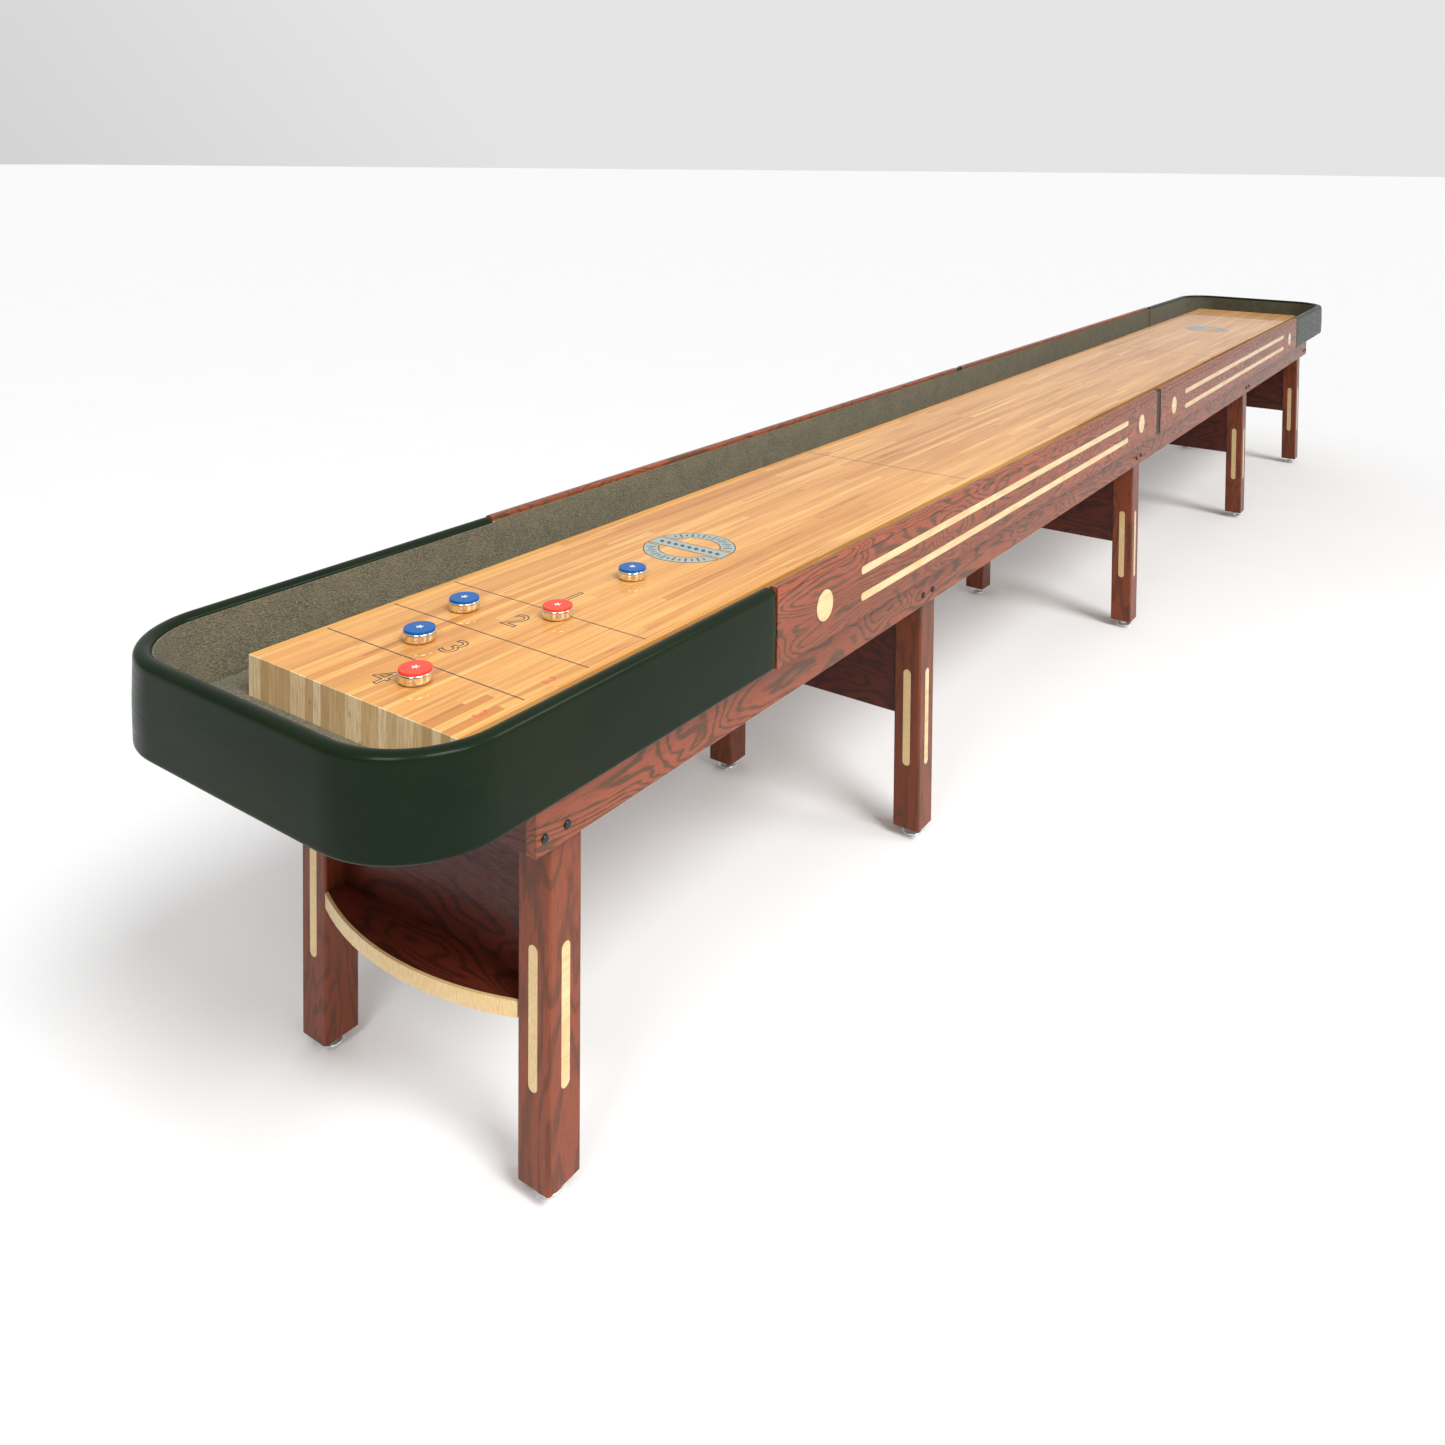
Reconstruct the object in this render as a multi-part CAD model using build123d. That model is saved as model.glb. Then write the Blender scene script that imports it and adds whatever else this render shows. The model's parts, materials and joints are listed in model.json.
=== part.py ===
"""Bar-style shuffleboard table, 22 ft long: a maple playing board in a carpeted cradle with
padded ends, oak sides, ten legs on screw levelers, two bow-front shelves and five weights.

Frame: X runs along the table, Y across it, Z up. The origin is on the floor under its middle.
"""
import os

from build123d import *

# Whole table
LENGTH = 6706.0
WIDTH = 775.0
RIM_TOP = 858.0
SIDE_BOTTOM = 703.0
SKIRT_BOTTOM = 597.0
LEG_BOTTOM = 25.0

# Playing board, bed and carpet
BOARD_LENGTH = 6290.0
BOARD_WIDTH = 520.0
BOARD_THICK = 76.0
BED_THICK = 18.0
CARPET_THICK = 4.0
CARPET_BELOW_RIM = 11.0

# Oak sides and the vinyl spacer between their two lengths
SIDE_THICK = 20.0
SIDE_EDGE_RADIUS = 6.0
GROOVE_DROP = 17.0
GROOVE_SIZE = 2.0
SPACER_LENGTH = 48.0
SPACER_SETBACK = 1.5

# Padded end rails
END_RAIL_REACH = 883.0
END_RAIL_THICK = 28.0
END_CORNER_RADIUS = 175.0
PAD_THICK = 10.0
PAD_TOP_RADIUS = 8.0

# Maple inlays on the sides
STRIP_HEIGHT = 17.0
STRIP_SPACING = 56.0
STRIP_FROM_PANEL_END = 322.0
MEDALLION_RADIUS = 31.0
MEDALLION_FROM_PANEL_END = 174.0
INLAY_DEPTH = 3.0
INLAY_CENTRE_Z = 773.0

# Skirts and end aprons
SKIRT_FACE = 335.0
SKIRT_THICK = 21.5
SKIRT_END_SETBACK = 298.0
APRON_THICK = 38.0
APRON_SETBACK = 2.0
FRAME_EDGE_RADIUS = 3.0

# Legs, from the near faces of each pair
LEG_LONG = 76.0
LEG_ACROSS = 70.0
LEG_EDGE_RADIUS = 6.0
END_LEG_SETBACK = 350.0
SECOND_LEG_SETBACK = 1640.0
LEG_INLAY_WIDTH = 19.5
LEG_INLAY_LOW = 181.0
LEG_INLAY_HIGH = 418.0

# Cross panels, beams and shelves
PANEL_BOTTOM = 302.0
PANEL_THICK = 19.0
PANEL_INSET = 8.0
BEAM_THICK = 45.0
BEAM_HEIGHT = 100.0
SHELF_TOP = 313.0
SHELF_THICK = 19.0
SHELF_BOW = 50.0
EDGING_THICK = 6.0
EDGING_HEIGHT = 27.0

# Frame bolts: two beside the near face of every leg
BOLT_RADIUS = 4.0
BOLT_HEAD_RADIUS = 7.0
BOLT_HEAD_HEIGHT = 4.0
BOLT_LENGTH = 55.0
BOLT_OFFSETS = (-34.0, 16.0)
BOLT_Z = 623.0

# Screw levelers and their inserts
STEM_RADIUS = 6.0
STEM_LENGTH = 60.0
STEM_CLEARANCE = 0.3
FOOT_RADIUS = 24.0
FOOT_HEIGHT = 7.0
HEX_ACROSS_FLATS = 19.0
HEX_HEIGHT = 7.0
INSERT_RADIUS = 10.0
INSERT_LENGTH = 18.0
INSERT_FLANGE_RADIUS = 16.0
INSERT_FLANGE_THICK = 2.0
STEM_HOLE_LENGTH = 80.0

# Board adjusters under the playing board
ADJUSTER_XS = (-2320.0, -860.0, 860.0, 2320.0)
ADJUSTER_HALF_SPAN = 190.0
ADJUSTER_ROD_RADIUS = 6.0
ADJUSTER_ROD_DROP = 34.0
ADJUSTER_NUT_RADIUS = 11.0
ADJUSTER_NUT_LENGTH = 10.0
BRACKET_WIDTH = 70.0
BRACKET_FOOT = 50.0
BRACKET_THICK = 5.0
BRACKET_HEIGHT = 48.0
BED_SLOT_LONG = 130.0
BED_SLOT_ACROSS = 460.0

# Weights: name, distance from the near end and place across the table
WEIGHTS = (
    ("red_1", 305.0, -55.0),
    ("blue_1", 424.0, 73.0),
    ("blue_2", 574.0, 121.0),
    ("red_2", 650.0, -48.0),
    ("blue_3", 898.0, -24.0),
)
WEIGHT_RADIUS = 29.3
WEIGHT_FOOT_RADIUS = 23.0
WEIGHT_HEIGHT = 18.5
WAX_GAP = 0.3
CAP_RADIUS = 28.0
CAP_HEIGHT = 5.0
CAP_EDGE_RADIUS = 1.5
CAP_PLUG_RADIUS = 9.0
CAP_PLUG_DEPTH = 6.0

# Derived places
HALF_LENGTH = LENGTH / 2
HALF_WIDTH = WIDTH / 2
BED_TOP = SIDE_BOTTOM + BED_THICK
BOARD_TOP = BED_TOP + BOARD_THICK
SIDE_INNER = HALF_WIDTH - SIDE_THICK
LEG_OUTER = SKIRT_FACE - SKIRT_THICK
LEG_INNER = LEG_OUTER - LEG_ACROSS
PAIR_XS = (
    -HALF_LENGTH + END_LEG_SETBACK,
    -HALF_LENGTH + SECOND_LEG_SETBACK,
    -LEG_LONG / 2,
    HALF_LENGTH - SECOND_LEG_SETBACK - LEG_LONG,
    HALF_LENGTH - END_LEG_SETBACK - LEG_LONG,
)
LAST_PAIR = len(PAIR_XS)
SIDES = {"right": -1, "left": 1}
ENDS = {"near": -1, "far": 1}


def block(x0, x1, y0, y1, z0, z1):
    """A box between two opposite corners, given in any order."""
    centre = Pos((x0 + x1) / 2, (y0 + y1) / 2, (z0 + z1) / 2)
    return centre * Box(abs(x1 - x0), abs(y1 - y0), abs(z1 - z0))


def upright(x, y, z0, z1, radius):
    """A vertical cylinder from z0 to z1."""
    return Pos(x, y, (z0 + z1) / 2) * Cylinder(radius, z1 - z0)


def across(x, z, y0, y1, radius):
    """A cylinder along Y from y0 to y1."""
    return Pos(x, (y0 + y1) / 2, z) * Rot(90, 0, 0) * Cylinder(radius, abs(y1 - y0))


def plate(outline, z0, z1):
    """An outline in plan, raised from z0 to z1."""
    return Pos(0, 0, z0) * extrude(outline, amount=z1 - z0)


def save(name, *solids):
    """Writes one named piece, or a group of separate solids under one name."""
    shape = solids[0] if len(solids) == 1 else Compound(children=list(solids))
    export_step(shape, f"parts/{name}.step")


def rounded_outline(inset):
    """The table's plan with rounded corners, drawn in by inset."""
    return RectangleRounded(LENGTH - 2 * inset, WIDTH - 2 * inset, END_CORNER_RADIUS - inset)


def lined_outline(lining):
    """The plan inside the end rails and the thinner oak sides, less a lining."""
    oak_length = LENGTH - 2 * END_RAIL_REACH
    ends = rounded_outline(END_RAIL_THICK + lining)
    middle = Rectangle(oak_length, 2 * (SIDE_INNER - lining))
    return ends + middle


def end_zone(end):
    """A block that holds everything of an end rail, which stops END_RAIL_REACH from the end."""
    x_end = end * HALF_LENGTH
    reach = end * (HALF_LENGTH - END_RAIL_REACH)
    return block(x_end, reach, -HALF_WIDTH, HALF_WIDTH, 0, RIM_TOP)


def playing_board():
    board = block(
        -BOARD_LENGTH / 2, BOARD_LENGTH / 2, -BOARD_WIDTH / 2, BOARD_WIDTH / 2, BED_TOP, BOARD_TOP
    )
    return chamfer(board.edges().group_by(Axis.Z)[-1], 1.0)


def bed():
    """The gutter floor, with a slot over each board adjuster."""
    floor = plate(lined_outline(0), SIDE_BOTTOM, BED_TOP)
    for x in ADJUSTER_XS:
        half_x, half_y = BED_SLOT_LONG / 2, BED_SLOT_ACROSS / 2
        floor -= block(x - half_x, x + half_x, -half_y, half_y, SIDE_BOTTOM - 1, BED_TOP + 1)
    return floor


def carpet():
    """Carpet on the gutter floor and up the inside of the rails, around the board."""
    lining = plate(lined_outline(0), BED_TOP, RIM_TOP - CARPET_BELOW_RIM)
    hollow = plate(lined_outline(CARPET_THICK), BED_TOP + CARPET_THICK, RIM_TOP)
    board = Pos(0, 0, BED_TOP) * Box(BOARD_LENGTH, BOARD_WIDTH, 4 * CARPET_THICK)
    return lining - hollow - board


def core_ring():
    """The bent plywood wall as it would run all round the table."""
    top = RIM_TOP - PAD_THICK
    ring = plate(rounded_outline(PAD_THICK), SIDE_BOTTOM, top)
    return ring - plate(rounded_outline(END_RAIL_THICK), SIDE_BOTTOM, top)


def end_rail_core(end):
    """The bent plywood wall inside a padded end."""
    return core_ring() & end_zone(end)


def end_rail_pad(end):
    """The padded vinyl over the core's outside and top, soft along its top edges."""
    wall = plate(rounded_outline(0), SIDE_BOTTOM, RIM_TOP)
    wall -= plate(rounded_outline(END_RAIL_THICK), SIDE_BOTTOM, RIM_TOP)
    wall = fillet(wall.edges().group_by(Axis.Z)[-1], PAD_TOP_RADIUS)
    return (wall - core_ring()) & end_zone(end)


def strip(x0, x1, z, face, side):
    """A round-ended inlay along X, let into the face of a side."""
    shape = SlotOverall(x1 - x0, STRIP_HEIGHT)
    solid = extrude(shape, amount=INLAY_DEPTH / 2, both=True)
    y = side * (face - INLAY_DEPTH / 2)
    return Pos((x0 + x1) / 2, y, z) * Rot(90, 0, 0) * solid


def panel_span(end):
    """The two X limits of an oak side at one end, its outer limit first."""
    outer = end * (HALF_LENGTH - END_RAIL_REACH)
    inner = end * SPACER_LENGTH / 2
    return outer, inner


def side_inlays(side, end):
    """Two strips and two medallions of one oak side."""
    low, high = sorted(panel_span(end))
    pieces = []
    for z in (INLAY_CENTRE_Z - STRIP_SPACING / 2, INLAY_CENTRE_Z + STRIP_SPACING / 2):
        x0, x1 = low + STRIP_FROM_PANEL_END, high - STRIP_FROM_PANEL_END
        pieces.append(strip(x0, x1, z, HALF_WIDTH, side))
    for x in (low + MEDALLION_FROM_PANEL_END, high - MEDALLION_FROM_PANEL_END):
        y0, y1 = side * HALF_WIDTH, side * (HALF_WIDTH - INLAY_DEPTH)
        pieces.append(across(x, INLAY_CENTRE_Z, y0, y1, MEDALLION_RADIUS))
    return pieces


def side_panel(side, end):
    """An oak side with a rounded top, a shadow groove and pockets for its inlays."""
    x0, x1 = panel_span(end)
    panel = block(x0, x1, side * SIDE_INNER, side * HALF_WIDTH, SIDE_BOTTOM, RIM_TOP)
    top_edges = panel.edges().filter_by(Axis.X).group_by(Axis.Z)[-1]
    panel = fillet(top_edges, SIDE_EDGE_RADIUS)
    groove_z = RIM_TOP - GROOVE_DROP
    groove_y = side * (HALF_WIDTH - GROOVE_SIZE / 2)
    outside = side * (HALF_WIDTH + 1)
    panel -= block(x0, x1, groove_y, outside, groove_z - GROOVE_SIZE / 2, groove_z + GROOVE_SIZE / 2)
    for inlay in side_inlays(side, end):
        panel -= inlay
    return panel


def spacer(side):
    """The vinyl-covered block between the two oak lengths of one side."""
    face = HALF_WIDTH - SPACER_SETBACK
    half = SPACER_LENGTH / 2
    body = block(-half, half, side * SIDE_INNER, side * face, SIDE_BOTTOM, RIM_TOP - SPACER_SETBACK)
    return fillet(body.edges().filter_by(Axis.X).group_by(Axis.Z)[-1], SIDE_EDGE_RADIUS - 1)


def bolt_places():
    """X and side of every frame bolt, with the end legs' bolts mirrored."""
    places = []
    for number, x in enumerate(PAIR_XS, start=1):
        for offset in BOLT_OFFSETS:
            bolt_x = x + LEG_LONG - offset if number == LAST_PAIR else x + offset
            places.extend((bolt_x, side) for side in SIDES.values())
    return places


def bolt(x, side):
    """A round-headed bolt through a skirt, into the leg or cross member behind it."""
    shank_end = side * (SKIRT_FACE - BOLT_LENGTH)
    shank = across(x, BOLT_Z, side * SKIRT_FACE, shank_end, BOLT_RADIUS)
    head = across(x, BOLT_Z, side * SKIRT_FACE, side * (SKIRT_FACE + BOLT_HEAD_HEIGHT), BOLT_HEAD_RADIUS)
    rim = head.edges().filter_by(GeomType.CIRCLE).sort_by(Axis.Y)[0 if side < 0 else -1]
    return shank + fillet(rim, BOLT_HEAD_HEIGHT * 0.7)


def shank_holes(shape):
    """Cuts the bolts' shanks out of a piece of the frame."""
    for x, side in bolt_places():
        shank_end = side * (SKIRT_FACE - BOLT_LENGTH)
        shape -= across(x, BOLT_Z, side * SKIRT_FACE, shank_end, BOLT_RADIUS)
    return shape


def skirt(side):
    """The long board under an oak side, outside the legs."""
    half = HALF_LENGTH - SKIRT_END_SETBACK
    y0, y1 = side * LEG_OUTER, side * SKIRT_FACE
    body = block(-half, half, y0, y1, SKIRT_BOTTOM, SIDE_BOTTOM)
    outer_low = body.edges().filter_by(Axis.X).group_by(Axis.Z)[0].sort_by(Axis.Y)
    body = fillet(outer_low[0 if side < 0 else -1], FRAME_EDGE_RADIUS)
    return shank_holes(body)


def apron(end):
    """The cross board that closes the frame between the skirts at one end."""
    outer = end * (HALF_LENGTH - SKIRT_END_SETBACK - APRON_SETBACK)
    inner = outer - end * APRON_THICK
    return shank_holes(block(outer, inner, -LEG_OUTER, LEG_OUTER, SKIRT_BOTTOM, SIDE_BOTTOM))


def beam(pair_x):
    """The cross member that carries the bed in front of an inner leg pair."""
    low = SIDE_BOTTOM - BEAM_HEIGHT
    return shank_holes(block(pair_x - BEAM_THICK, pair_x, -LEG_OUTER, LEG_OUTER, low, SIDE_BOTTOM))


def leg_inlay(pair_x, side, on_outer):
    """A round-ended inlay down a leg's outer or near face."""
    height = LEG_INLAY_HIGH - LEG_INLAY_LOW
    middle_z = (LEG_INLAY_HIGH + LEG_INLAY_LOW) / 2
    solid = extrude(SlotOverall(height, LEG_INLAY_WIDTH), amount=INLAY_DEPTH / 2, both=True)
    if on_outer:
        place = Pos(pair_x + LEG_LONG / 2, side * (LEG_OUTER - INLAY_DEPTH / 2), middle_z)
        return place * Rot(90, 0, 0) * Rot(0, 0, 90) * solid
    place = Pos(pair_x + INLAY_DEPTH / 2, side * (LEG_OUTER + LEG_INNER) / 2, middle_z)
    return place * Rot(0, 90, 0) * solid


def leg_centre(pair_x, side):
    return pair_x + LEG_LONG / 2, side * (LEG_OUTER + LEG_INNER) / 2


def leg_insert(pair_x, side):
    """The flanged threaded insert in the bottom of a leg."""
    x, y = leg_centre(pair_x, side)
    flange = upright(x, y, LEG_BOTTOM, LEG_BOTTOM + INSERT_FLANGE_THICK, INSERT_FLANGE_RADIUS)
    barrel = upright(x, y, LEG_BOTTOM, LEG_BOTTOM + INSERT_LENGTH, INSERT_RADIUS)
    hole = upright(x, y, LEG_BOTTOM - 1, LEG_BOTTOM + INSERT_LENGTH + 1, STEM_RADIUS + STEM_CLEARANCE)
    return flange + barrel - hole


def leg(pair_x, side):
    """A square leg with rounded corners, inlay pockets and a socket for its leveler."""
    body = block(
        pair_x, pair_x + LEG_LONG, side * LEG_INNER, side * LEG_OUTER, LEG_BOTTOM, SIDE_BOTTOM
    )
    body = fillet(body.edges().filter_by(Axis.Z), LEG_EDGE_RADIUS)
    x, y = leg_centre(pair_x, side)
    body -= upright(x, y, LEG_BOTTOM, LEG_BOTTOM + STEM_HOLE_LENGTH, STEM_RADIUS + 2 * STEM_CLEARANCE)
    body -= upright(x, y, LEG_BOTTOM, LEG_BOTTOM + INSERT_LENGTH, INSERT_RADIUS)
    body -= upright(x, y, LEG_BOTTOM, LEG_BOTTOM + INSERT_FLANGE_THICK, INSERT_FLANGE_RADIUS)
    for on_outer in (True, False):
        body -= leg_inlay(pair_x, side, on_outer)
    return shank_holes(body)


def leveler(pair_x, side):
    """A screw foot: a round pad, a hexagon to turn it by and a threaded stem."""
    x, y = leg_centre(pair_x, side)
    pad = fillet(upright(x, y, 0, FOOT_HEIGHT, FOOT_RADIUS).edges().group_by(Axis.Z)[-1], 3.0)
    hexagon = extrude(RegularPolygon(HEX_ACROSS_FLATS / 2, 6, major_radius=False), amount=HEX_HEIGHT)
    stem_low = FOOT_HEIGHT + HEX_HEIGHT
    stem = upright(x, y, stem_low, stem_low + STEM_LENGTH, STEM_RADIUS)
    return pad + Pos(x, y, FOOT_HEIGHT) * hexagon + stem


def cross_panel(number, pair_x):
    """The broad board between a leg pair. At the ends it stands behind the shelf."""
    x0 = pair_x + PANEL_INSET
    if number == 1:
        x0 = pair_x + LEG_LONG - PANEL_INSET - PANEL_THICK
    low = SHELF_TOP - EDGING_HEIGHT if number in (1, LAST_PAIR) else PANEL_BOTTOM
    return block(x0, x0 + PANEL_THICK, -LEG_INNER, LEG_INNER, low, SIDE_BOTTOM)


def bow(x_leg, inset):
    """The plan between an end leg pair, bowed outwards, with its front drawn in by inset."""
    radius = (LEG_INNER**2 + SHELF_BOW**2) / (2 * SHELF_BOW)
    centre_x = x_leg + radius - SHELF_BOW
    depth = LEG_LONG - PANEL_INSET - PANEL_THICK
    back = x_leg + depth
    zone = Pos((back + x_leg - SHELF_BOW) / 2, 0) * Rectangle(depth + SHELF_BOW, 2 * LEG_INNER)
    return (Pos(centre_x, 0) * Circle(radius - inset)) & zone


def shelf(end):
    solid = plate(bow(PAIR_XS[0], EDGING_THICK), SHELF_TOP - SHELF_THICK, SHELF_TOP)
    return solid if end < 0 else mirror(solid, Plane.YZ)


def shelf_edging(end):
    """The maple lipping along a shelf's bowed front."""
    front = bow(PAIR_XS[0], 0) - bow(PAIR_XS[0], EDGING_THICK)
    solid = plate(front, SHELF_TOP - EDGING_HEIGHT, SHELF_TOP)
    return solid if end < 0 else mirror(solid, Plane.YZ)


def adjuster(x):
    """Two angle brackets under the board and the threaded rod that draws them together."""
    rod_z = BED_TOP - ADJUSTER_ROD_DROP
    half = BRACKET_WIDTH / 2
    pieces = []
    rod_end = ADJUSTER_HALF_SPAN + BRACKET_THICK + ADJUSTER_NUT_LENGTH + 5
    rod = across(x, rod_z, -rod_end, rod_end, ADJUSTER_ROD_RADIUS)
    for side in SIDES.values():
        web = side * ADJUSTER_HALF_SPAN
        web_out = side * (ADJUSTER_HALF_SPAN + BRACKET_THICK)
        foot_in = side * (ADJUSTER_HALF_SPAN - BRACKET_FOOT)
        foot = block(x - half, x + half, foot_in, web_out, BED_TOP - BRACKET_THICK, BED_TOP)
        upstand = block(x - half, x + half, web, web_out, BED_TOP - BRACKET_HEIGHT, BED_TOP)
        pieces.append(foot + upstand - rod)
        nut_out = side * (ADJUSTER_HALF_SPAN + BRACKET_THICK + ADJUSTER_NUT_LENGTH)
        rod += across(x, rod_z, web_out, nut_out, ADJUSTER_NUT_RADIUS)
    return pieces + [rod]


def weight_and_cap(x, y):
    """A sliding weight, barrel-sided on a narrower foot, and the cap plugged into its top."""
    floor = BOARD_TOP + WAX_GAP
    with BuildSketch(Plane.XZ) as profile:
        with BuildLine():
            foot = Line((0, 0), (WEIGHT_FOOT_RADIUS, 0))
            low = Spline(
                foot @ 1, (WEIGHT_RADIUS, WEIGHT_HEIGHT * 0.45), tangents=((1, 0.2), (0, 1))
            )
            high = Spline(
                low @ 1, (CAP_RADIUS + 0.5, WEIGHT_HEIGHT), tangents=((0, 1), (-1, 0.5))
            )
            Line(high @ 1, (0, WEIGHT_HEIGHT))
            Line((0, WEIGHT_HEIGHT), (0, 0))
        make_face()
    body = revolve(profile.sketch, Axis.Z)
    cap = upright(0, 0, WEIGHT_HEIGHT, WEIGHT_HEIGHT + CAP_HEIGHT, CAP_RADIUS)
    cap = fillet(cap.edges().group_by(Axis.Z)[-1], CAP_EDGE_RADIUS)
    plug = upright(0, 0, WEIGHT_HEIGHT - CAP_PLUG_DEPTH, WEIGHT_HEIGHT, CAP_PLUG_RADIUS)
    place = Pos(x, y, floor)
    return place * (body - plug), place * (cap + plug)


def main():
    os.makedirs("parts", exist_ok=True)
    save("playing_board", playing_board())
    save("gutter_bed", bed())
    save("carpet_lining", carpet())
    save("side_spacers", *[spacer(side) for side in SIDES.values()])

    inlays = []
    for side_name, side in SIDES.items():
        save(f"skirt_{side_name}", skirt(side))
        for end_name, end in ENDS.items():
            save(f"side_panel_{end_name}_{side_name}", side_panel(side, end))
            inlays += side_inlays(side, end)
    save("side_inlays", *inlays)

    for end_name, end in ENDS.items():
        save(f"end_rail_core_{end_name}", end_rail_core(end))
        save(f"end_rail_pad_{end_name}", end_rail_pad(end))
        save(f"end_apron_{end_name}", apron(end))
        save(f"shelf_{end_name}", shelf(end))
    save("shelf_edgings", *[shelf_edging(end) for end in ENDS.values()])
    save("cross_beams", *[beam(x) for x in PAIR_XS[1:-1]])

    leg_inlays, inserts = [], []
    for number, x in enumerate(PAIR_XS, start=1):
        save(f"cross_panel_{number}", cross_panel(number, x))
        for side_name, side in SIDES.items():
            save(f"leg_{side_name}_{number}", leg(x, side))
            save(f"leveler_{side_name}_{number}", leveler(x, side))
            leg_inlays += [leg_inlay(x, side, on_outer) for on_outer in (True, False)]
            inserts.append(leg_insert(x, side))
    save("leg_inlays", *leg_inlays)
    save("leveler_inserts", *inserts)

    save("frame_bolts", *[bolt(x, side) for x, side in bolt_places()])
    save("board_adjusters", *[piece for x in ADJUSTER_XS for piece in adjuster(x)])

    for name, from_end, y in WEIGHTS:
        body, cap = weight_and_cap(from_end - HALF_LENGTH, y)
        save(f"weight_{name}", body)
        save(f"weight_cap_{name}", cap)


main()
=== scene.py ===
"""Looks of the shuffleboard table: materials, padded ends, printed board, light and camera."""
import json
import math

import bpy
from mathutils import Matrix, Vector, noise

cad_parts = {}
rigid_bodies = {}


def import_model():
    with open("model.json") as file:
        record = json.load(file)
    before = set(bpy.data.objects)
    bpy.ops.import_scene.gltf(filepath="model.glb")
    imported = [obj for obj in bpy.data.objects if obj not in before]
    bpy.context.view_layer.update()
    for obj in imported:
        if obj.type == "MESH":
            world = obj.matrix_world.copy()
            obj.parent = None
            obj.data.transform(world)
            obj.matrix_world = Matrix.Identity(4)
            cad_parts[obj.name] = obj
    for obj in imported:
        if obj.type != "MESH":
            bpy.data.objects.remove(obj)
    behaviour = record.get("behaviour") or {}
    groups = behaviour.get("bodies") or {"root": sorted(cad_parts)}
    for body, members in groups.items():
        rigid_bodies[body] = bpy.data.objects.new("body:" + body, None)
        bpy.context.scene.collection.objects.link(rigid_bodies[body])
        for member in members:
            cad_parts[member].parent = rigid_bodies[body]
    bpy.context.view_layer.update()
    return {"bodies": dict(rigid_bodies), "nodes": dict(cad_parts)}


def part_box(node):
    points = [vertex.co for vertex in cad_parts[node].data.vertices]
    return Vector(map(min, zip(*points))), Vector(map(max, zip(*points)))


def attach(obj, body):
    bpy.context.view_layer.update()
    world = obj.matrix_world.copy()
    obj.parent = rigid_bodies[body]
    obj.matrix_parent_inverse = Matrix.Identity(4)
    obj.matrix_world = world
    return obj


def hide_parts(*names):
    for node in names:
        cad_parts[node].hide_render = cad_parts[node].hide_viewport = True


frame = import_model()
NODES = frame["nodes"]

# Places, from the frame
BOARD_LOW, BOARD_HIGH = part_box("playing_board")
PAD_LOW, PAD_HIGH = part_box("end_rail_pad_near")
BOARD_TOP = BOARD_HIGH.z

# Board printing, in metres
ZONE = 0.1524
FOUL_LINE_FROM_END = 12 * ZONE
LINE_WIDTH = 0.0028
LINE_MARGIN = 0.012
INK_THICK = 0.00015
NUMERAL_SIZE = 0.078
NUMERAL_STROKE = 0.0015
EDGE_NUMERAL_SIZE = 0.038
EDGE_NUMERAL_INSET = 0.031
EDGE_NUMERAL_SWELL = 0.004  # share of the size that a filled numeral is fattened by
FILL_LAYER = 1.6  # heights of overlapping prints, in ink thicknesses
MARK_LAYER = 2.2

# Ring mark, in metres
RING_FROM_END = 0.916
RING_OUTER = 0.103
RING_INNER = 0.067
RING_BAR = 0.044
RING_GAP = 0.005
RING_OUTLINE = 0.0026
TICK_COUNT = 40
TICK_LONG = 0.020
TICK_SHORT = 0.011
TICK_WIDE = 0.0042
TICK_CLEARANCE = 0.008
DIAMOND_LONG = RING_BAR * 0.36
DIAMOND_WIDE = DIAMOND_LONG * 0.55
DIAMOND_PITCH = 0.019

# Padded ends, in metres
CORNER_RADIUS = 0.175
RAIL_THICK = 0.028
PAD_THICK = 0.010
PAD_STEP = 0.011  # between the sections along the rail
PAD_CROWN = 0.0010
PAD_WRINKLE = 0.0006
PULL_DEPTH = 0.0016  # how far the vinyl is drawn in at a rail's two ends
PULL_REACH = 0.012
PUCKERS_PER_RADIAN = 46
PUCKER_SHARE = 0.8  # of the wrinkles' depth
PUCKER_START = 0.45  # share of the way from the middle of the face to its edges

# Camera
CAMERA_AT = Vector((-4.3672, -1.6006, 1.6541))
CAMERA_YAW = 35.38
CAMERA_PITCH = 1.89
CAMERA_ROLL = 0.47
CAMERA_LENS = 30.40
CAMERA_SENSOR = 36.0
CAMERA_SHIFT_DOWN = 0.3616
CAMERA_REACH = 200.0

# Floor, room and lights
FLOOR_SIZE = 400.0
FLOOR_THICK = 0.02
ROOM_BRIGHT_WAY = (0.8, -0.1, 0.59)
ROOM_FADE = (-0.7, 0.5)  # where the dim side ends and the bright side starts, along that way
ROOM_DIM = 0.22
ROOM_BRIGHT = 0.78
KEY_FROM = Vector((-0.16, -0.63, 0.76))
KEY_STRENGTH = 2.2
KEY_ANGLE = 24.0
BOXES_AIM_AT = Vector((-2.75, 0.0, 0.8))
BOXES = (  # name, place, side, power
    ("box_left", Vector((-5.1, -0.8, 2.7)), 1.0, 42.0),
    ("box_middle", Vector((-3.1, -2.9, 2.7)), 0.9, 26.0),
    ("box_right", Vector((-0.9, -2.3, 2.7)), 0.9, 26.0),
)


# --- Materials -------------------------------------------------------------------------------

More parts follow.
